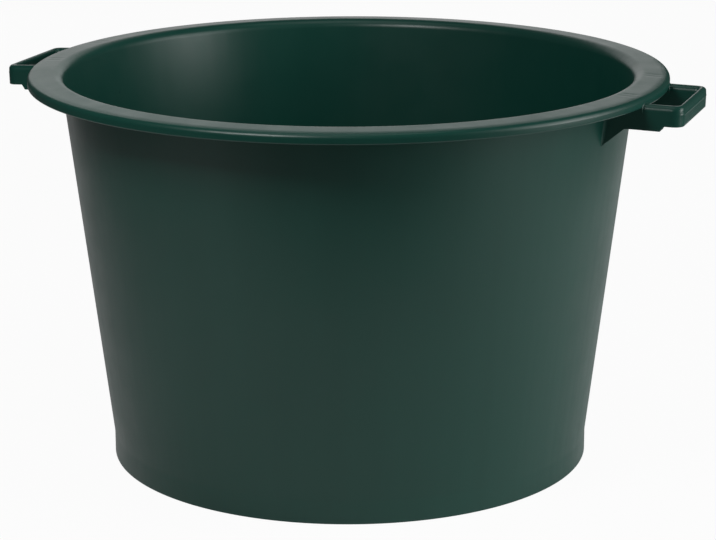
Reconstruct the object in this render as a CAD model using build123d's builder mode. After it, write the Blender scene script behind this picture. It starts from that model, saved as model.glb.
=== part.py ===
"""Round tub with a flat rolled rim and two loop handles, in millimetres.

The tub stands on its foot ring at Z = 0 with its axis on Z, and the handles lie along X.
The moulding is divided where its function changes, and the pieces meet face to face.
"""

from build123d import *

import os
from math import radians, tan

# Wall and foot
tub_height = 401.0
foot_diameter = 494.0
foot_collar_height = 23.5
foot_blend_radius = 45.0
foot_edge_radius = 1.0
wall_draft = 6.79
wall_thickness = 2.5
foot_thickness = 4.2

# Floor
floor_rise = 6.0
floor_thickness = 4.5
floor_corner_radius = 10.0

# Rim: a flat ring that rolls over into a short skirt
rim_width = 33.1
rim_thickness = 4.2
mouth_rounding = 8.0
rim_roll_radius = 5.7
skirt_depth = 11.0
skirt_edge_radius = 1.6
under_rim_fillet = 3.0

# Handles: loops with two arms of channel section, open below, and a grip across their ends
handle_width = 120.0
handle_height = 19.2
handle_drop = 6.6
handle_droop = 1.0
finger_gap = 27.0
arm_width = 12.5
arm_skin = 3.5
grip_thickness = 6.8
grip_ridge_depth = 8.0
grip_ridge = 0.4
handle_corner_radius = 9.0
finger_gap_corner_radius = 3.0
handle_edge_radius = 3.0

# Handle roots: the deeper stretch of the arms next to the rim, and the ribs that carry them
root_depth = 25.0
root_reach = 11.4
root_step_run = 4.2
rib_knee_height = 19.0
rib_knee_run = 22.5

# Sizes that follow from the ones above
draft_slope = tan(radians(wall_draft))
foot_radius = foot_diameter / 2
wall_step = wall_thickness * (1 + draft_slope**2) ** 0.5
floor_top = floor_rise + floor_thickness
foot_ring_height = foot_collar_height + floor_top + floor_corner_radius


def outside_radius(z):
    """Radius of the wall's outside at a height above the foot collar."""
    return foot_radius + (z - foot_collar_height) * draft_slope


def inside_radius(z):
    """Radius of the wall's inside at a height."""
    return outside_radius(z) - wall_step


wall_top = tub_height - max(mouth_rounding, rim_thickness + under_rim_fillet)
rim_radius = outside_radius(tub_height) + rim_width
rim_underside = tub_height - rim_thickness
skirt_bottom = tub_height - skirt_depth
floor_radius = inside_radius(floor_top) - floor_corner_radius
foot_inside_radius = foot_radius - foot_thickness

os.makedirs("parts", exist_ok=True)


def save(piece, name):
    """Label a finished piece and write it as the node of that name."""
    piece.part.label = name
    export_step(piece.part, f"parts/{name}.step")


# Conical wall between the foot ring and the rim
with BuildPart() as tub_wall:
    with BuildSketch(Plane.XZ):
        with BuildLine():
            Polyline(
                (inside_radius(foot_ring_height), foot_ring_height),
                (outside_radius(foot_ring_height), foot_ring_height),
                (outside_radius(wall_top), wall_top),
                (inside_radius(wall_top), wall_top),
                close=True,
            )
        make_face()
    revolve(axis=Axis.Z)
save(tub_wall, "tub_wall")

# Upright collar that the tub stands on, with the inside corner between wall and floor
with BuildPart() as foot_ring:
    with BuildSketch(Plane.XZ):
        with BuildLine():
            FilletPolyline(
                (outside_radius(foot_ring_height), foot_ring_height),
                (inside_radius(foot_ring_height), foot_ring_height),
                (inside_radius(floor_top), floor_top),
                (floor_radius, floor_top),
                (floor_radius, floor_rise),
                (foot_inside_radius, floor_rise),
                (foot_inside_radius, 0),
                (foot_radius, 0),
                (foot_radius, foot_collar_height),
                radius=(
                    0,
                    0,
                    floor_corner_radius,
                    0,
                    0,
                    foot_edge_radius,
                    foot_edge_radius,
                    foot_edge_radius,
                    foot_blend_radius,
                ),
                close=True,
            )
        make_face()
    revolve(axis=Axis.Z)
save(foot_ring, "foot_ring")

# Floor disc, carried inside the foot ring
with BuildPart() as tub_floor:
    with BuildSketch(Plane.XY.offset(floor_rise)):
        Circle(floor_radius)
    extrude(amount=floor_thickness)
save(tub_floor, "tub_floor")

# Flat rim with its rolled outer edge and skirt
with BuildPart() as rim:
    with BuildSketch(Plane.XZ):
        with BuildLine():
            FilletPolyline(
                (outside_radius(wall_top), wall_top),
                (inside_radius(wall_top), wall_top),
                (inside_radius(tub_height), tub_height),
                (rim_radius, tub_height),
                (rim_radius, skirt_bottom),
                (rim_radius - rim_thickness, skirt_bottom),
                (rim_radius - rim_thickness, rim_underside),
                (outside_radius(rim_underside), rim_underside),
                radius=(
                    0,
                    0,
                    mouth_rounding,
                    rim_roll_radius,
                    skirt_edge_radius,
                    skirt_edge_radius,
                    max(rim_roll_radius - rim_thickness, skirt_edge_radius),
                    under_rim_fillet,
                ),
                close=True,
            )
        make_face()
    revolve(axis=Axis.Z)
save(rim, "rim")

# Heights and reaches of a handle, seen from its side
droop_slope = tan(radians(handle_droop))
grip_inside = rim_radius + finger_gap
grip_outside = grip_inside + grip_thickness
root_end = rim_radius + root_reach
step_end = root_end + root_step_run
arm_outside = handle_width / 2
arm_inside = arm_outside - arm_width


def arm_top(x):
    """Height of a handle's drooping top at a distance from the tub's axis."""
    return tub_height - handle_drop - droop_slope * (x - rim_radius)


grip_top = arm_top(grip_outside)
knee_bottom = arm_top(rim_radius) - root_depth - rib_knee_height
knee_start = (outside_radius(knee_bottom) ** 2 - arm_outside**2) ** 0.5
knee_end = knee_start + rib_knee_run

# Handle loops: a side outline cut to a plan gives the loop, whose arms are hollowed from below
with BuildPart() as right_handle:
    with BuildSketch(Plane.XZ):
        with BuildLine():
            Polyline(
                (knee_start, arm_top(knee_start)),
                (grip_outside - grip_ridge, grip_top),
                (grip_outside, grip_top - grip_ridge_depth),
                (grip_outside - grip_ridge, grip_top - handle_height),
                (step_end, arm_top(step_end) - handle_height),
                (root_end, arm_top(root_end) - root_depth),
                (knee_start, arm_top(knee_start) - root_depth),
                close=True,
            )
        make_face()
    extrude(amount=handle_width, both=True)
    with BuildSketch() as loop_plan:
        with Locations((grip_outside / 2, 0)):
            Rectangle(grip_outside, handle_width)
        fillet(loop_plan.vertices().group_by(Axis.X)[-1], handle_corner_radius)
        with BuildSketch(mode=Mode.SUBTRACT) as gap_plan:
            with Locations((grip_inside / 2, 0)):
                Rectangle(grip_inside, 2 * arm_inside)
            fillet(gap_plan.vertices().group_by(Axis.X)[-1], finger_gap_corner_radius)
    extrude(amount=tub_height, mode=Mode.INTERSECT)
    top_edges = right_handle.faces().sort_by(Axis.Z)[-1].edges()
    fillet(top_edges, min(handle_edge_radius, 0.45 * grip_thickness, 0.45 * arm_width))
    with BuildSketch(Plane.XZ.offset(arm_skin - arm_outside), Plane.XZ.offset(arm_inside + arm_skin)):
        with BuildLine():
            Polyline(
                (knee_start, arm_top(knee_start) - arm_skin),
                (grip_inside, arm_top(grip_inside) - arm_skin),
                (grip_inside, knee_bottom),
                (knee_start, knee_bottom),
                close=True,
            )
        make_face()
    extrude(amount=arm_width - 2 * arm_skin, mode=Mode.SUBTRACT)
    Cylinder(rim_radius, 2 * tub_height, mode=Mode.SUBTRACT)
save(right_handle, "right_handle")

with BuildPart() as left_handle:
    mirror(right_handle.part, about=Plane.YZ)
save(left_handle, "left_handle")

# Ring of space under the rim, between the wall, the flat and the skirt, where the ribs stand
with BuildPart() as rib_space:
    with BuildSketch(Plane.XZ):
        with BuildLine():
            Polyline(
                (outside_radius(knee_bottom), knee_bottom),
                (rim_radius, knee_bottom),
                (rim_radius, skirt_bottom + skirt_edge_radius),
                (rim_radius - rim_thickness / 2, skirt_bottom + skirt_edge_radius),
                (rim_radius - rim_thickness / 2, rim_underside),
                (outside_radius(rim_underside), rim_underside),
                close=True,
            )
        make_face()
    revolve(axis=Axis.Z)
    add(rim.part, mode=Mode.SUBTRACT)

# Ribs under the rim: two plates below each handle arm, each with a knee against the wall
for face_name, near_face in (("inner", arm_inside), ("outer", arm_outside - arm_skin)):
    with BuildPart() as right_rear_rib:
        with BuildSketch(Plane.XZ.offset(-near_face)):
            with BuildLine():
                Polyline(
                    (0, tub_height),
                    (0, knee_bottom),
                    (knee_start, knee_bottom),
                    (knee_end, arm_top(knee_end) - root_depth),
                    (grip_outside, arm_top(grip_outside) - root_depth),
                    (grip_outside, tub_height),
                    close=True,
                )
            make_face()
        extrude(amount=-arm_skin)
        add(rib_space.part, mode=Mode.INTERSECT)
    with BuildPart() as right_front_rib:
        mirror(right_rear_rib.part, about=Plane.XZ)
    with BuildPart() as left_rear_rib:
        mirror(right_rear_rib.part, about=Plane.YZ)
    with BuildPart() as left_front_rib:
        mirror(right_front_rib.part, about=Plane.YZ)
    save(right_rear_rib, f"right_rear_{face_name}_rib")
    save(right_front_rib, f"right_front_{face_name}_rib")
    save(left_rear_rib, f"left_rear_{face_name}_rib")
    save(left_front_rib, f"left_front_{face_name}_rib")
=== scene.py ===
"""Finished look of the dark green round tub: moulded surfaces, studio light and camera."""

import math
from collections import namedtuple

import bmesh
import bpy
import numpy as np
from mathutils import Matrix, Vector


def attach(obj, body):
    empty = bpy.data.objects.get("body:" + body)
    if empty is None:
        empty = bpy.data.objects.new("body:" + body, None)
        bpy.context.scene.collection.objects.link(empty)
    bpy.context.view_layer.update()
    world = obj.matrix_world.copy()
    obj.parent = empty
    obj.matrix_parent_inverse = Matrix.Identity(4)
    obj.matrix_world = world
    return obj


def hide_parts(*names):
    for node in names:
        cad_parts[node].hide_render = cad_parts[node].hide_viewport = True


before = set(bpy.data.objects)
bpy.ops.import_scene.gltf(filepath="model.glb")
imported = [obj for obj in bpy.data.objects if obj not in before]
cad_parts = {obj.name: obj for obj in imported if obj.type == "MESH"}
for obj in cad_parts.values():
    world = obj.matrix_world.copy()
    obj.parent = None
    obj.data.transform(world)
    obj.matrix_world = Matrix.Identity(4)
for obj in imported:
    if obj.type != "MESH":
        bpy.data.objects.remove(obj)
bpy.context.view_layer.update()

MM = 0.001

# Wall, foot and floor; every size of the tub is in millimetres
tub_height = 401.0
foot_radius = 247.0
foot_collar_height = 23.5
foot_blend_radius = 45.0
foot_edge_radius = 1.0
foot_thickness = 4.2
draft_slope = math.tan(math.radians(6.79))
wall_thickness = 2.5
floor_rise = 6.0
floor_top = 10.5
floor_corner_radius = 10.0

# Rim: its top falls outward to a steeper shoulder and rolls over into a short skirt
rim_width = 33.1
rim_thickness = 4.2
rim_root_depth = 8.0
rim_lift = 0.2
rim_fall = math.tan(math.radians(2.6))
rim_shoulder_reach = 8.5
rim_shoulder_fall = math.tan(math.radians(9.5))
rim_shoulder_radius = 40.0
rim_roll_radius = 5.0
mouth_rounding = 10.2
skirt_depth = 10.0
skirt_edge_radius = 1.6
under_rim_fillet = 3.0

# Shallow sinks in the rim's top, one along the middle of each rib below
sink_depth = 0.4
sink_half_width = 3.2
sink_inner_radius = 298.0
sink_outer_radius = 319.0
sink_end_run = 5.0

# Handles: two arms of channel section, open below, and a thin grip with a beaded parting ridge
handle_width = 120.0
handle_height = 19.8
handle_drop = 6.6
handle_corner_radius = 11.0
lower_round = 0.4
droop_slope = math.tan(math.radians(1.0))
left_droop = 1.3
left_droop_root = 8.0
finger_gap = 27.0
finger_gap_corner_radius = 3.0
arm_width = 12.5
arm_skin = 3.5
arm_round = 6.0
channel_end = 346.6
channel_end_run = 0.5
channel_round = 0.9
grip_thickness = 6.8
grip_round = 3.3
grip_ridge = 0.4
grip_ridge_depth = 8.0
grip_bead = 0.22
grip_bead_half_width = 0.55

# Handle roots: the deeper stretch next to the rim, its step up to the arm, and its fillet
root_depth = 25.0
root_reach = 11.4
root_step_run = 4.2
root_step_softness = 0.22
root_fillet_radius = 1.5
root_fillet_least = 0.6
root_fillet_taper = 0.12
root_fillet_run = 2.0

# Ribs: plates with a knee against the wall, let a little into the wall, the rim and the skirt
rib_knee_height = 19.0
rib_knee_run = 22.5
rib_knee_bend = 2.5
rib_edge_round = 0.8
rib_knee_sink = 1.8
rib_wall_sink = 1.6
rib_rim_sink = 1.0
rib_skirt_sink = 2.0
rib_fillet_wide = 3.4
rib_fillet_thin = 1.2
rib_fillet_taper = 9.0
rib_fillet_top = 2.0
knee_normal = np.array([0.70, 0, -0.71])

# Fillet strips are let into both surfaces along their edges and behind their corner
fillet_edge_sink = 0.12
fillet_corner_sink = 0.6

# How finely the surfaces are cut
segments = 384
fine_step_margin = 9.0
crease_angle = math.radians(32.0)
wall_rows = 14
rim_rows = 14
fillet_steps = 7
edge_steps = 8
step_rows = 12
corner_steps = 14
grip_steps = 12
root_face_steps = 4
root_edge_steps = 10
rib_edge_steps = 4
rib_back_rows = 12
rib_fillet_rows = 22
knee_rows = 9
tip_search_below = 6.0
tip_search_above = 12.0
tip_halvings = 50
floor_ring_radii = (200, 160, 120, 80, 40, 16, 6)

# Sections along a handle arm, by their distance from the tub's axis or from the root's step
root_rows = (323.5, 326.0, 329.0, 332.0, 335.0)
arm_rows = (343.5, 345.2)
rows_before_step = (-0.9, -0.4)
rows_after_step = (0.5, 1.1)

# Rows down a handle's faces, from the parting ridge, from the top and up from the lower edge
ridge_rows = (6.5, 3.5, 1.6, 0.9, 0.45, 0.0, -0.45, -0.9, -1.6)
inner_rows = (7.0, 10.0, 13.5)
lowest_row = 2.5

# Shares of an arm's width, from its inner face, at the lip, the channel's edge, side and roof
channel_shares = (0.16, 0.22, 0.235, 0.28)


def outside_radius(z):
    """Radius of the wall's outside at a height above the foot collar."""
    return foot_radius + (z - foot_collar_height) * draft_slope


def inside_radius(z):
    """Radius of the wall's inside at a height."""
    return outside_radius(z) - wall_thickness * math.hypot(1, draft_slope)


wall_top = tub_height - rim_root_depth
foot_ring_height = foot_collar_height + floor_top + floor_corner_radius
foot_inside_radius = foot_radius - foot_thickness
floor_radius = inside_radius(floor_top) - floor_corner_radius
rim_radius = outside_radius(tub_height) + rim_width
rim_underside = tub_height - rim_thickness
skirt_bottom = tub_height - skirt_depth
grip_inside = rim_radius + finger_gap
grip_outside = grip_inside + grip_thickness
root_end = rim_radius + root_reach
step_end = root_end + root_step_run
arm_outside = handle_width / 2
arm_inside = arm_outside - arm_width


def rim_height(radius):
    """Height of the rim's top, which falls a little towards its outer edge."""
    return tub_height + rim_lift + (rim_radius - radius) * rim_fall


def arm_top(x):
    """Height of a handle's drooping top at a distance from the tub's axis."""
    return tub_height - handle_drop - droop_slope * (x - rim_radius)


knee_bottom = arm_top(rim_radius) - root_depth - rib_knee_height
knee_start = math.sqrt(outside_radius(knee_bottom) ** 2 - arm_outside**2)
knee_end = knee_start + rib_knee_run
knee_top = arm_top(knee_end) - root_depth

segment_step = 2 * math.pi / segments
round_steps = np.arange(segments) * 2 * math.pi / segments


def rounded(points, radii, turn=8.0, rows=None):
    """Closed outline through the points with each corner rounded, and straight runs cut into rows.

    The turn is the most that an arc bends between two of its points, in degrees.
    """
    outline = []
    count = len(points)
    for i in range(count):
        corner = np.array(points[i], float)
        before = np.array(points[i - 1], float) - corner
        after = np.array(points[(i + 1) % count], float) - corner
        before /= np.linalg.norm(before)
        after /= np.linalg.norm(after)
        if radii[i] > 0:
            half = math.acos(np.clip(before @ after, -1, 1)) / 2
            middle = (before + after) / np.linalg.norm(before + after)
            centre = corner + middle * radii[i] / math.sin(half)
            start = corner + before * radii[i] / math.tan(half) - centre
            finish = corner + after * radii[i] / math.tan(half) - centre
            bend = math.pi - 2 * half
            steps = max(3, math.ceil(math.degrees(bend) / turn))
            for k in range(steps + 1):
                a = bend * k / steps
                arm = (start * math.sin(bend - a) + finish * math.sin(a)) / math.sin(bend)
                outline.append(centre + arm)
        else:
            outline.append(corner)
        if rows and rows[i] > 1:
            outline.append(("run", rows[i]))
    cut = []
    for i, item in enumerate(outline):
        if isinstance(item, tuple):
            a = outline[i - 1]
            b = outline[(i + 1) % len(outline)]
            cut += [a + (b - a) * k / item[1] for k in range(1, item[1])]
        else:
            cut.append(item)
    return np.array(cut)


def finish_mesh(name, verts, faces):
    """Object from vertices in millimetres, closed and facing outward, smooth except at its creases."""
    mesh = bpy.data.meshes.new(name)
    mesh.from_pydata([tuple(v) for v in np.asarray(verts) * MM], [], faces)
    work = bmesh.new()
    work.from_mesh(mesh)
    if work.calc_volume(signed=True) < 0:
        bmesh.ops.reverse_faces(work, faces=work.faces)
    work.to_mesh(mesh)
    work.free()
    mesh.shade_smooth()
    mesh.set_sharp_from_angle(angle=crease_angle)
    piece = bpy.data.objects.new(name, mesh)
    bpy.context.scene.collection.objects.link(piece)
    return piece


def lathe(outline, angles=round_steps):
    """Vertices and faces of a closed outline of radius and height turned once round Z."""
    turns = len(angles)
    count = len(outline)
    verts = np.empty((turns, count, 3))
    verts[:, :, 0] = np.cos(angles)[:, None] * outline[:, 0]
    verts[:, :, 1] = np.sin(angles)[:, None] * outline[:, 0]
    verts[:, :, 2] = outline[:, 1]
    faces = []
    for i in range(turns):
        a = i * count
        b = (i + 1) % turns * count
        for j in range(count):
            k = (j + 1) % count
            faces.append((a + j, b + j, b + k, a + k))
    return verts.reshape(-1, 3), faces


def sweep(sections):
    """Vertices and faces of closed sections of equal counts, joined in order and capped at both ends."""
    sections = np.asarray(sections)
    total, count = sections.shape[:2]
    faces = []
    for i in range(total - 1):
        for j in range(count):
            k = (j + 1) % count
            faces.append((i * count + j, (i + 1) * count + j, (i + 1) * count + k, i * count + k))
    faces.append(tuple(range(count)))
    faces.append(tuple((total - 1) * count + j for j in reversed(range(count))))
    return sections.reshape(-1, 3), faces


def join(shells):
    """One set of vertices and faces from several."""
    verts = []
    faces = []
    start = 0
    for shell_verts, shell_faces in shells:
        verts.append(shell_verts)
        faces += [tuple(start + index for index in face) for face in shell_faces]
        start += len(shell_verts)
    return np.concatenate(verts), faces


def outward(verts, faces):
    """The closed shell with its faces turned outward."""
    volume = 0.0
    for face in faces:
        a = verts[face[0]]
        for i in range(1, len(face) - 1):
            volume += a @ np.cross(verts[face[i]], verts[face[i + 1]])
    if volume < 0:
        faces = [tuple(reversed(face)) for face in faces]
    return verts, faces


def flipped(verts, faces, left, front):
    """The shell turned over to the left of the tub, to its front, or to both."""
    verts = verts * np.array([-1 if left else 1, -1 if front else 1, 1])
    if left != front:
        faces = [tuple(reversed(face)) for face in faces]
    return verts, faces


def fillet_strip(corners, normals_a, normals_b, radii):
    """Concave fillet along a line of corners between two surfaces with the given normals."""
    sections = []
    for corner, a, b, radius in zip(corners, normals_a, normals_b, radii):
        corner = np.asarray(corner, float)
        a = np.asarray(a, float) / np.linalg.norm(a)
        b = np.asarray(b, float) / np.linalg.norm(b)
        centre = corner + radius * (a + b) / (1 + a @ b)
        angle = math.acos(np.clip(a @ b, -1, 1))
        section = []
        for k in range(fillet_steps + 1):
            part = angle * k / fillet_steps
            out = (a * math.sin(angle - part) + b * math.sin(part)) / math.sin(angle)
            sink = fillet_edge_sink if k in (0, fillet_steps) else 0.0
            section.append(centre - radius * out - sink * out)
        section.append(corner - fillet_corner_sink * (a + b) / (1 + a @ b))
        sections.append(section)
    return sweep(sections)


def wall_piece():
    """Conical wall between the foot ring and the rim."""
    outline = rounded(
        [
            (inside_radius(foot_ring_height), foot_ring_height),
            (outside_radius(foot_ring_height), foot_ring_height),
            (outside_radius(wall_top), wall_top),
            (inside_radius(wall_top), wall_top),
        ],
        (0, 0, 0, 0),
        rows=(0, wall_rows, 0, wall_rows),
    )
    return finish_mesh("tub_wall_skin", *lathe(outline))


def foot_piece():
    """Upright collar with a rounded tread and the inside corner to the floor."""
    outline = rounded(
        [
            (outside_radius(foot_ring_height), foot_ring_height),
            (inside_radius(foot_ring_height), foot_ring_height),
            (inside_radius(floor_top), floor_top),
            (floor_radius, floor_top),
            (floor_radius, floor_rise),
            (foot_inside_radius, floor_rise),
            (foot_inside_radius, 0),
            (foot_radius, 0),
            (foot_radius, foot_collar_height),
        ],
        (
            0,
            0,
            floor_corner_radius,
            0,
            0,
            foot_edge_radius,
            foot_edge_radius,
            foot_edge_radius,
            foot_blend_radius,
        ),
        turn=6.0,
    )
    return finish_mesh("foot_ring_skin", *lathe(outline))


def floor_piece():
    """Flat floor disc inside the foot ring."""
    radii = (floor_radius, *floor_ring_radii)
    top = [(r, floor_top) for r in radii]
    bottom = [(r, floor_rise) for r in reversed(radii)]
    verts, faces = lathe(np.array(top + bottom))
    count = len(top) + len(bottom)
    innermost = len(top) - 1
    faces = [face for face in faces if face[0] % count != innermost]
    faces.append(tuple(i * count + innermost for i in range(segments)))
    faces.append(tuple(i * count + innermost + 1 for i in reversed(range(segments))))
    return finish_mesh("tub_floor_skin", verts, faces)


def rim_angles():
    """Steps round the rim, three times as fine above the handle arms."""
    angles = []
    for start in round_steps:
        angles.append(start)
        across = rim_radius * abs(math.sin(start + segment_step / 2))
        if arm_inside - fine_step_margin < across < arm_outside + fine_step_margin:
            angles += [start + segment_step / 3, start + 2 * segment_step / 3]
    return np.array(angles)


def with_sinks(verts):
    """Vertices of the rim with its top lowered a little along the ribs."""
    radius = np.hypot(verts[:, 0], verts[:, 1])
    across = np.abs(verts[:, 1])
    inner_end = np.clip((radius - sink_inner_radius) / sink_end_run, 0, 1)
    outer_end = np.clip((sink_outer_radius - radius) / sink_end_run, 0, 1)
    sink = np.zeros(len(verts))
    for rib_middle in (arm_inside + arm_skin / 2, arm_outside - arm_skin / 2):
        sink += np.exp(-(((across - rib_middle) / sink_half_width) ** 2))
    on_top = verts[:, 2] > tub_height
    lowered = verts.copy()
    lowered[:, 2] -= np.where(on_top, sink_depth * (inner_end * outer_end) * sink, 0)
    return lowered


def rim_piece():
    """Nearly flat rim, its rolled edge and skirt, with slight sinks in its top above the ribs."""
    mouth_radius = inside_radius(rim_height(inside_radius(tub_height)))
    shoulder = rim_radius - rim_shoulder_reach
    roll_top = rim_height(shoulder) - rim_shoulder_reach * rim_shoulder_fall
    outline = rounded(
        [
            (outside_radius(wall_top), wall_top),
            (inside_radius(wall_top), wall_top),
            (mouth_radius, rim_height(mouth_radius)),
            (shoulder, rim_height(shoulder)),
            (rim_radius, roll_top),
            (rim_radius, skirt_bottom),
            (rim_radius - rim_thickness, skirt_bottom),
            (rim_radius - rim_thickness, rim_underside),
            (outside_radius(rim_underside), rim_underside),
        ],
        (
            0,
            0,
            mouth_rounding,
            rim_shoulder_radius,
            rim_roll_radius,
            skirt_edge_radius,
            skirt_edge_radius,
            skirt_edge_radius,
            under_rim_fillet,
        ),
        turn=5.0,
        rows=(0, 0, rim_rows, 0, 0, 0, 0, 0, 0),
    )
    verts, faces = lathe(outline, rim_angles())
    return finish_mesh("rim_skin", with_sinks(verts), faces)


# Place on a handle's plan: points and normals of its outer and inner faces, its share of the
# grip's section, and whether it is hollow below
Station = namedtuple("Station", "outer inner outer_normal inner_normal grip_share hollow")


def arm_station(outer_x, inner_x, hollow):
    """Station on the front arm, with its distances from the tub's axis along both faces."""
    return Station((outer_x, -arm_outside), (inner_x, -arm_inside), (0, -1), (0, 1), 0.0, hollow)


def arm_stations():
    """Stations from the front root, where the arm leaves the rim, to the corner."""
    root_outer_x = math.sqrt(rim_radius**2 - arm_outside**2)
    root_inner_x = math.sqrt(rim_radius**2 - arm_inside**2)
    hollow_rows = [*root_rows]
    hollow_rows += [root_end + run for run in rows_before_step]
    hollow_rows += [root_end + root_step_run * k / step_rows for k in range(step_rows + 1)]
    hollow_rows += [step_end + run for run in rows_after_step]
    hollow_rows += [*arm_rows, channel_end]
    solid_rows = (channel_end + channel_end_run, grip_outside - handle_corner_radius)
    stations = [arm_station(root_outer_x, root_inner_x, True)]
    stations += [arm_station(x, x, True) for x in hollow_rows]
    stations += [arm_station(x, x, False) for x in solid_rows]
    return stations


def corner_stations():
    """Stations round the front corner, from the arm's section to the grip's."""
    corner_x = grip_outside - handle_corner_radius
    gap_x = grip_inside - finger_gap_corner_radius
    straight = gap_x - corner_x
    length = straight + finger_gap_corner_radius * math.pi / 2
    stations = []
    for k in range(1, corner_steps + 1):
        a = math.pi / 2 * k / corner_steps
        out = (math.sin(a), -math.cos(a))
        outer = (
            corner_x + handle_corner_radius * out[0],
            -arm_outside + handle_corner_radius * (1 + out[1]),
        )
        run = length * k / corner_steps
        if run < straight:
            inner = (corner_x + run, -arm_inside)
            inward = (0.0, 1.0)
        else:
            b = (run - straight) / finger_gap_corner_radius
            inward = (-math.sin(b), math.cos(b))
            inner = (
                gap_x - finger_gap_corner_radius * inward[0],
                -arm_inside + finger_gap_corner_radius * (1 - inward[1]),
            )
        share = 0.5 - 0.5 * math.cos(math.pi * k / corner_steps)
        stations.append(Station(outer, inner, out, inward, share, False))
    return stations


def grip_station(share):
    """Station on the grip at a share of its half length, from its middle towards the front."""
    outer_y = -(arm_outside - handle_corner_radius) * share
    inner_y = -(arm_inside - finger_gap_corner_radius) * share
    return Station((grip_outside, outer_y), (grip_inside, inner_y), (1, 0), (-1, 0), 1.0, False)


def handle_stations():
    """Stations of a handle from its front root round the grip to its rear root."""
    front = arm_stations() + corner_stations()
    front += [grip_station(1 - k / grip_steps) for k in range(1, grip_steps)]
    rear = []
    for station in reversed(front):
        plan = [(x, -y) for x, y in station[:4]]
        rear.append(Station(*plan, station.grip_share, station.hollow))
    return front + [grip_station(0.0)] + rear


def handle_depth(x):
    """Depth of a handle below its top, which steps up beyond the root with softened corners."""
    soft = root_step_softness
    t = np.clip((x - root_end) / root_step_run, 0, 1)
    if t < soft:
        eased = t * t / (2 * soft)
    elif t > 1 - soft:
        eased = 1 - soft - (1 - t) ** 2 / (2 * soft)
    else:
        eased = t - soft / 2
    return root_depth + (handle_height - root_depth) * eased / (1 - soft)


def ridge_setback(below):
    """How far the grip's outer face stands back from its parting bead at a depth below the top."""
    if below < grip_ridge_depth:
        back = grip_ridge * (1 - below / grip_ridge_depth)
    else:
        back = grip_ridge * (below - grip_ridge_depth) / (handle_height - grip_ridge_depth)
    bead = grip_bead * math.exp(-(((below - grip_ridge_depth) / grip_bead_half_width) ** 2))
    return back - bead + grip_bead


def handle_section(station):
    """Closed section of a handle at a station, from the outer bottom edge over the top and back below."""
    outer, inner, out, inward = (np.array(v, float) for v in station[:4])
    share = station.grip_share
    depth = handle_depth(outer[0])
    top_round = arm_round + (grip_round - arm_round) * share
    arc = [math.pi / 2 * k / edge_steps for k in range(edge_steps + 1)]
    points = []

    def add(plan, below):
        points.append((plan[0], plan[1], arm_top(plan[0]) - below))

    def outer_face(below, inset=0.0):
        """Plan point of the outer face at a depth, set back behind the parting bead."""
        return outer - out * (share * ridge_setback(below) + inset)

    def add_between(start, finish, part, below):
        add(start + (finish - start) * part, below)

    for a in arc[::2]:
        below = depth - lower_round + lower_round * math.cos(a)
        add(outer_face(below, lower_round * (1 - math.sin(a))), below)
    for below in (depth - lowest_row, *(grip_ridge_depth + row for row in ridge_rows)):
        add(outer_face(below), below)
    for a in arc:
        below = top_round * (1 - math.sin(a))
        add(outer_face(below, top_round * (1 - math.cos(a))), below)
    for part in (0.25, 0.5, 0.75):
        add_between(outer_face(0, top_round), inner - inward * top_round, part, 0.0)
    for a in reversed(arc):
        add(inner - inward * top_round * (1 - math.cos(a)), top_round * (1 - math.sin(a)))
    for below in (*inner_rows, depth - lowest_row):
        add(inner, below)
    for a in reversed(arc[::2]):
        below = depth - lower_round + lower_round * math.cos(a)
        add(inner - inward * lower_round * (1 - math.sin(a)), below)

    inner_lip = inner - inward * lower_round
    outer_lip = outer_face(depth, lower_round)
    roof = arm_skin if station.hollow else depth
    levels = (depth, depth, min(roof + channel_round, depth), roof)
    for part, below in zip(channel_shares, levels):
        add_between(inner_lip, outer_lip, part, below)
    add_between(inner_lip, outer_lip, 0.5, roof)
    for part, below in zip(reversed(channel_shares), reversed(levels)):
        add_between(inner_lip, outer_lip, 1 - part, below)
    return points


def arm_outline():
    """Outline over an arm at its root: distance across, height from its top, and normal."""
    line = []
    for k in range(root_face_steps):
        line.append((arm_outside, -arm_round - root_fillet_run * (1 - k / root_face_steps), (1, 0)))
    for k in range(root_edge_steps):
        a = math.pi / 2 * k / root_edge_steps
        across = arm_outside - arm_round * (1 - math.cos(a))
        line.append((across, -arm_round * (1 - math.sin(a)), (math.cos(a), math.sin(a))))
    line.append((arm_outside - arm_round, 0.0, (0, 1)))
    for k in range(root_edge_steps):
        a = math.pi / 2 * (1 - k / root_edge_steps)
        across = arm_inside + arm_round * (1 - math.cos(a))
        line.append((across, -arm_round * (1 - math.sin(a)), (-math.cos(a), math.sin(a))))
    for k in range(root_face_steps + 1):
        line.append((arm_inside, -arm_round - root_fillet_run * k / root_face_steps, (-1, 0)))
    return line


def handle_root_fillets():
    """Fillets where the two arms run into the rolled rim, round their sides and tops."""
    strips = []
    for side in (-1, 1):
        corners = []
        arm_normals = []
        rim_normals = []
        radii = []
        for across, height, (sideways, upward) in arm_outline():
            x = math.sqrt(rim_radius**2 - across**2)
            corners.append((x, side * across, arm_top(x) + height))
            arm_normals.append((0, side * sideways, upward))
            rim_normals.append((x, side * across, 0))
            radii.append(max(root_fillet_least, root_fillet_radius + root_fillet_taper * height))
        strips.append(fillet_strip(corners, arm_normals, rim_normals, radii))
    return strips


def drooped(verts):
    """Vertices of a handle that hangs a little lower towards its grip."""
    start = rim_radius - left_droop_root
    reach = np.clip((np.abs(verts[:, 0]) - start) / (grip_outside - start), 0, 1)
    lowered = verts.copy()
    lowered[:, 2] -= left_droop * reach
    return lowered


def handle_piece(side):
    """Loop handle: two arms of channel section and a thin grip with a parting ridge."""
    loop = sweep([handle_section(station) for station in handle_stations()])
    verts, faces = join([outward(*shell) for shell in (loop, *handle_root_fillets())])
    if side == "left":
        verts, faces = flipped(verts, faces, left=True, front=False)
        verts = drooped(verts)
    return finish_mesh(f"{side}_handle_skin", verts, faces)


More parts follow.
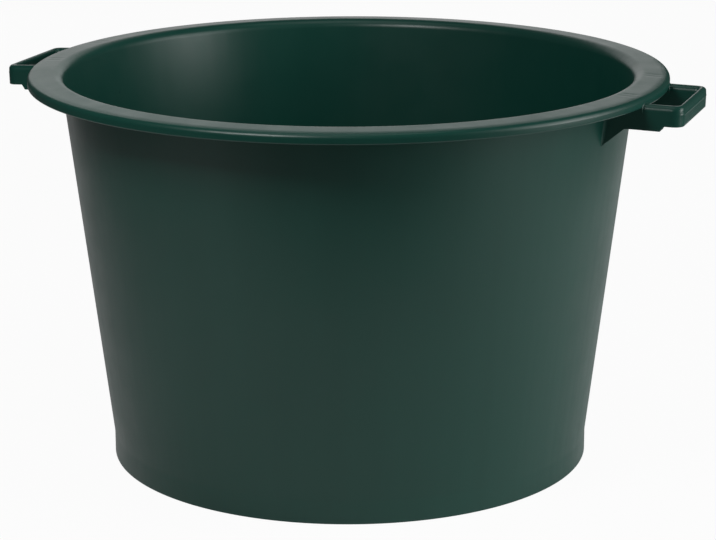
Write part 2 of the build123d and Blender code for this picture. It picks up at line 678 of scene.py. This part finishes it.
def knee_tip(y):
    """Height at which a rib's knee meets the wall at a distance across, found by halving."""
    low = knee_bottom - tip_search_below
    high = knee_bottom + tip_search_above
    slope = (knee_top - knee_bottom) / rib_knee_run
    for _ in range(tip_halvings):
        z = (low + high) / 2
        x = knee_start + (z - knee_bottom) / slope
        if math.hypot(x, y) < outside_radius(z):
            low = z
        else:
            high = z
    return z


def rib_outline(y):
    """Lower edge of a rib at a distance across, and the rest of its outline, let into its neighbours."""
    up_knee = np.array([knee_end - knee_start, knee_top - knee_bottom])
    up_knee /= np.linalg.norm(up_knee)
    end = math.sqrt(rim_radius**2 - y**2)
    inner_end = math.sqrt((rim_radius - rib_skirt_sink) ** 2 - y**2)
    bend = rounded(
        [
            (knee_start, knee_bottom),
            (knee_end, knee_top),
            (end, arm_top(end) - root_depth),
            (knee_start, tub_height),
        ],
        (0, rib_knee_bend, 0, 0),
    )[1:-2]
    tip = np.array([knee_start, knee_bottom]) - rib_knee_sink * up_knee
    lower = [tip, *bend, (end, arm_top(end) - root_depth)]
    rest = [
        (end, skirt_bottom + skirt_edge_radius),
        (inner_end, skirt_bottom + skirt_edge_radius),
        (inner_end, rim_underside + rib_rim_sink),
    ]
    for z in np.linspace(rim_underside + rib_rim_sink, knee_bottom + rib_rim_sink, rib_back_rows):
        rest.append((math.sqrt((outside_radius(z) - rib_wall_sink) ** 2 - y**2), z))
    return lower, rest


def rib_plate(near, far):
    """Closed plate of a rib between two distances across, with rounded lower edges."""
    work = bmesh.new()
    rings = []
    for y in (near, far):
        lower, rest = rib_outline(y)
        rings.append([work.verts.new((x, y, z)) for x, z in [*lower, *rest]])
    first, second = rings
    count = len(first)
    work.faces.new(first)
    work.faces.new(list(reversed(second)))
    for i in range(count):
        j = (i + 1) % count
        work.faces.new((first[j], first[i], second[i], second[j]))
    lower_edges = []
    for ring in rings:
        for i in range(len(lower) - 1):
            lower_edges.append(work.edges.get((ring[i], ring[i + 1])))
    bmesh.ops.bevel(
        work,
        geom=lower_edges,
        offset=rib_edge_round,
        segments=rib_edge_steps,
        profile=0.5,
        affect="EDGES",
        clamp_overlap=True,
    )
    work.verts.index_update()
    verts = np.array([v.co[:] for v in work.verts])
    faces = [tuple(v.index for v in face.verts) for face in work.faces]
    work.free()
    return outward(verts, faces)


def rib_fillet(near, far, near_radius, far_radius):
    """Fillet that runs down one face of a rib along the wall, under its knee and up the other face."""
    corners = []
    rib_normals = []
    wall_normals = []
    radii = []

    def side_radius(full, rise):
        """Fillet radius at a rise above the knee's tip."""
        t = min(rise / rib_fillet_taper, 1.0)
        return rib_fillet_thin + (full - rib_fillet_thin) * t * t * (3 - 2 * t)

    def add(y, z, normal, radius):
        wall_radius = outside_radius(z)
        x = math.sqrt(wall_radius**2 - y**2)
        corners.append((x, y, z))
        rib_normals.append(normal)
        wall_normals.append((x / wall_radius, y / wall_radius, -draft_slope))
        radii.append(radius)

    top = rim_underside - rib_fillet_top
    tip_near = knee_tip(near) + rib_edge_round
    tip_far = knee_tip(far) + rib_edge_round
    for t in np.linspace(0, 1, rib_fillet_rows)[:-1]:
        z = top + (tip_far - top) * t
        add(far, z, (0, 1, 0), side_radius(far_radius, z - tip_far))
    for t in np.linspace(0, 1, knee_rows):
        a = math.pi * t
        y = far + (near - far) * t
        z = knee_tip(y) + rib_edge_round * abs(2 * t - 1)
        sideways = np.array([0, math.cos(a), 0])
        add(y, z, sideways + knee_normal * math.sin(a), rib_fillet_thin)
    for t in np.linspace(0, 1, rib_fillet_rows)[1:]:
        z = tip_near + (top - tip_near) * t
        add(near, z, (0, -1, 0), side_radius(near_radius, z - tip_near))
    return outward(*fillet_strip(corners, rib_normals, wall_normals, radii))


def rib_piece(side, arm, face):
    """One rib under the rim with its knee, and its fillet, which is thin towards the arm's other rib."""
    if face == "outer":
        near, far = arm_outside - arm_skin, arm_outside
        fillet = rib_fillet(near, far, rib_fillet_thin, rib_fillet_wide)
    else:
        near, far = arm_inside, arm_inside + arm_skin
        fillet = rib_fillet(near, far, rib_fillet_wide, rib_fillet_thin)
    rib = join([rib_plate(near, far), fillet])
    verts, faces = flipped(*rib, left=side == "left", front=arm == "front")
    return finish_mesh(f"{side}_{arm}_{face}_rib_skin", verts, faces)


def add_node(tree, kind, settings=None, **inputs):
    """New node with its settings and unlinked inputs."""
    node = tree.nodes.new(kind)
    for key, value in (settings or {}).items():
        setattr(node, key, value)
    for key, value in inputs.items():
        node.inputs[key.replace("_", " ")].default_value = value
    return node


def green_plastic():
    """Satin moulded plastic: faint clouding and flow streaks, uneven gloss and a fine grain."""
    material = bpy.data.materials.new("green_plastic")
    material.use_nodes = True
    tree = material.node_tree
    link = tree.links.new
    shader = tree.nodes["Principled BSDF"]
    shader.inputs["IOR"].default_value = 1.5
    place = add_node(tree, "ShaderNodeTexCoord").outputs["Object"]

    # Unit direction round the axis, so that streaks run up the wall and outward on flat faces
    flat = add_node(tree, "ShaderNodeVectorMath", {"operation": "MULTIPLY"})
    flat.inputs[1].default_value = (1, 1, 0)
    link(place, flat.inputs[0])
    round_axis = add_node(tree, "ShaderNodeVectorMath", {"operation": "NORMALIZE"})
    link(flat.outputs[0], round_axis.inputs[0])
    short = add_node(tree, "ShaderNodeVectorMath", {"operation": "MULTIPLY"})
    short.inputs[1].default_value = (0.3, 0.3, 0.25)
    link(place, short.inputs[0])
    streak_place = add_node(tree, "ShaderNodeVectorMath", {"operation": "ADD"})
    link(round_axis.outputs[0], streak_place.inputs[0])
    link(short.outputs[0], streak_place.inputs[1])

    # Colour from clouds and streaks
    streaks = add_node(tree, "ShaderNodeTexNoise", Scale=9.0, Detail=4.0, Roughness=0.55)
    link(streak_place.outputs[0], streaks.inputs["Vector"])
    clouds = add_node(tree, "ShaderNodeTexNoise", Scale=7.0, Detail=3.0, Roughness=0.5)
    link(place, clouds.inputs["Vector"])
    mottle = add_node(tree, "ShaderNodeMix", {"data_type": "FLOAT"}, Factor=0.45)
    link(clouds.outputs["Fac"], mottle.inputs["A"])
    link(streaks.outputs["Fac"], mottle.inputs["B"])
    tint = add_node(tree, "ShaderNodeValToRGB")
    darker, lighter = tint.color_ramp.elements
    darker.position = 0.3
    darker.color = (0.0071, 0.0680, 0.0503, 1)
    lighter.position = 0.7
    lighter.color = (0.0087, 0.0772, 0.0573, 1)
    link(mottle.outputs["Result"], tint.inputs["Fac"])
    link(tint.outputs["Color"], shader.inputs["Base Color"])

    # Uneven gloss
    gloss = add_node(tree, "ShaderNodeTexNoise", Scale=28.0, Detail=5.0, Roughness=0.6)
    link(place, gloss.inputs["Vector"])
    rough = add_node(tree, "ShaderNodeMapRange", From_Min=0.25, From_Max=0.75, To_Min=0.30, To_Max=0.38)
    link(gloss.outputs["Fac"], rough.inputs["Value"])
    link(rough.outputs["Result"], shader.inputs["Roughness"])

    # Fine grain over long shallow waves
    grain = add_node(tree, "ShaderNodeTexNoise", Scale=1600.0, Detail=2.0, Roughness=0.5)
    link(place, grain.inputs["Vector"])
    fine = add_node(tree, "ShaderNodeBump", Strength=0.06, Distance=0.0003)
    link(grain.outputs["Fac"], fine.inputs["Height"])
    waves = add_node(tree, "ShaderNodeTexNoise", Scale=16.0, Detail=1.0, Roughness=0.4)
    link(streak_place.outputs[0], waves.inputs["Vector"])
    soft = add_node(tree, "ShaderNodeBump", Strength=0.05, Distance=0.004)
    link(waves.outputs["Fac"], soft.inputs["Height"])
    link(fine.outputs["Normal"], soft.inputs["Normal"])
    link(soft.outputs["Normal"], shader.inputs["Normal"])
    return material


plastic = green_plastic()
pieces = {
    "tub_wall": wall_piece(),
    "foot_ring": foot_piece(),
    "tub_floor": floor_piece(),
    "rim": rim_piece(),
    "right_handle": handle_piece("right"),
    "left_handle": handle_piece("left"),
}
for side in ("right", "left"):
    for arm in ("front", "rear"):
        for face in ("outer", "inner"):
            pieces[f"{side}_{arm}_{face}_rib"] = rib_piece(side, arm, face)
for node, piece in pieces.items():
    piece.data.materials.append(plastic)
    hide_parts(node)
    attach(piece, "root")

# Camera at the photograph's place
lens = bpy.data.cameras.new("camera")
lens.sensor_width = 36.0
lens.lens = 126.634
lens.clip_end = 100.0
camera = bpy.data.objects.new("camera", lens)
camera.location = (0.84610, -2.38254, 0.87191)
camera.rotation_euler = (1.306515, 0.002655, 0.336964)
bpy.context.scene.collection.objects.link(camera)
bpy.context.scene.camera = camera

# Studio, laid out as the camera sees it: right of the tub, behind it and up, in metres
camera_azimuth = 19.53
camera_turn = Matrix.Rotation(math.radians(camera_azimuth), 3, "Z")
lit_point = Vector((0, 0, 0.25))


def studio_point(right, behind, up=0.0):
    """Point in the tub's frame from its place as the camera sees it."""
    return camera_turn @ Vector((right, behind, up))


def shown_white(tree, surface, share, glossy_share):
    """The surface mixed towards plain white for camera rays, and less so for glossy ones."""
    link = tree.links.new
    path = add_node(tree, "ShaderNodeLightPath")
    direct = add_node(tree, "ShaderNodeMath", {"operation": "MAXIMUM"})
    link(path.outputs["Is Camera Ray"], direct.inputs[0])
    link(path.outputs["Is Transmission Ray"], direct.inputs[1])
    seen = add_node(tree, "ShaderNodeMath", {"operation": "MULTIPLY"})
    seen.inputs[1].default_value = share
    link(direct.outputs[0], seen.inputs[0])
    whiteness = add_node(tree, "ShaderNodeMath", {"operation": "MULTIPLY_ADD"})
    whiteness.inputs[1].default_value = glossy_share
    link(path.outputs["Is Glossy Ray"], whiteness.inputs[0])
    link(seen.outputs[0], whiteness.inputs[2])
    blend = add_node(tree, "ShaderNodeMixShader")
    link(whiteness.outputs[0], blend.inputs["Fac"])
    link(surface.outputs[0], blend.inputs[1])
    return blend


def pale_floor():
    """Pale floor that reaches past the picture's edges, shows as white and keeps the tub's shadow."""
    front, back, side = -0.80, 3.3, 1.1
    outline = ((-side, front), (side, front), (side, back), (-side, back))
    mesh = bpy.data.meshes.new("floor")
    mesh.from_pydata([studio_point(*place) for place in outline], [], [(0, 1, 2, 3)])
    floor = bpy.data.objects.new("floor", mesh)
    bpy.context.scene.collection.objects.link(floor)
    material = bpy.data.materials.new("floor_white")
    material.use_nodes = True
    tree = material.node_tree
    tree.nodes.clear()
    matt = add_node(tree, "ShaderNodeBsdfDiffuse", Color=(0.92, 0.92, 0.92, 1))
    glow = add_node(tree, "ShaderNodeEmission", Color=(1, 1, 1, 1), Strength=1.0)
    blend = shown_white(tree, matt, share=0.955, glossy_share=0.2)
    tree.links.new(glow.outputs[0], blend.inputs[2])
    surface = add_node(tree, "ShaderNodeOutputMaterial")
    tree.links.new(blend.outputs[0], surface.inputs["Surface"])
    floor.data.materials.append(material)


def dim_room():
    """Dim room round the studio that shows as white where a view looks past the floor."""
    world = bpy.data.worlds.new("studio")
    bpy.context.scene.world = world
    world.use_nodes = True
    tree = world.node_tree
    tree.nodes.clear()
    room = add_node(tree, "ShaderNodeBackground", Color=(1, 1, 1, 1), Strength=0.03)
    glow = add_node(tree, "ShaderNodeBackground", Color=(1, 1, 1, 1), Strength=1.0)
    blend = shown_white(tree, room, share=0.98, glossy_share=0.02)
    tree.links.new(glow.outputs[0], blend.inputs[2])
    surface = add_node(tree, "ShaderNodeOutputWorld")
    tree.links.new(blend.outputs[0], surface.inputs["Surface"])


def soft_panel(name, azimuth, elevation, distance, size, radiance):
    """Soft light panel turned to the tub's middle; azimuth runs from behind the tub to its right."""
    turn = math.radians(azimuth)
    lift = math.radians(elevation)
    level = math.cos(lift)
    place = studio_point(math.sin(turn) * level, math.cos(turn) * level, math.sin(lift)) * distance
    lamp = bpy.data.lights.new(name, "AREA")
    lamp.shape = "RECTANGLE"
    lamp.size, lamp.size_y = size
    lamp.energy = radiance * math.pi * size[0] * size[1]
    panel = bpy.data.objects.new(name, lamp)
    panel.location = lit_point + place
    panel.rotation_euler = (-place).to_track_quat("-Z", "Y").to_euler()
    panel.visible_camera = False
    bpy.context.scene.collection.objects.link(panel)


pale_floor()
dim_room()
soft_panel("right_panel", azimuth=101, elevation=19, distance=2.6, size=(1.7, 2.0), radiance=2.5)
soft_panel("right_low_panel", azimuth=107, elevation=9, distance=1.7, size=(0.6, 0.4), radiance=4.0)
soft_panel("front_panel", azimuth=214, elevation=45, distance=1.4, size=(0.45, 0.38), radiance=11.0)
soft_panel("top_panel", azimuth=0, elevation=88, distance=1.5, size=(0.8, 0.8), radiance=0.7)
soft_panel("back_panel", azimuth=-5, elevation=17, distance=3.0, size=(2.25, 1.5), radiance=0.77)

bpy.context.scene.view_settings.view_transform = "Standard"
